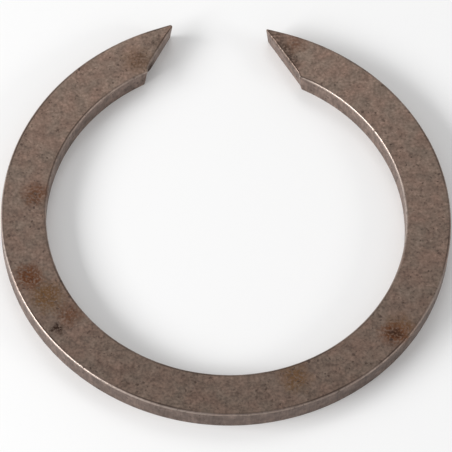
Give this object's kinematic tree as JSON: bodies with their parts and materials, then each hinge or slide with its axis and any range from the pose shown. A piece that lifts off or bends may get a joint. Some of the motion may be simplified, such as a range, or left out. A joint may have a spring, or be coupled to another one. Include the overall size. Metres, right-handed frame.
{
  "type": "external snap ring",
  "caption": "Flat open ring of spring steel with pointed raked ends and small plier seats; it springs into a groove round a shaft and stops a bearing or gear from sliding off.",
  "frame": {"origin": "centre of the ring on its lower flat face", "axes": "+Z along the ring's axis, up from the lower flat face; +Y from the centre through the middle of the gap; +X to the right arm"},
  "size_m": [0.05, 0.05, 0.0025],
  "materials": {
    "spring_steel": "tumbled, dull brown-grey, with light rust freckles"
  },
  "bodies": {
    "root": {"snap_ring": "spring_steel"}
  },
  "joints": []
}
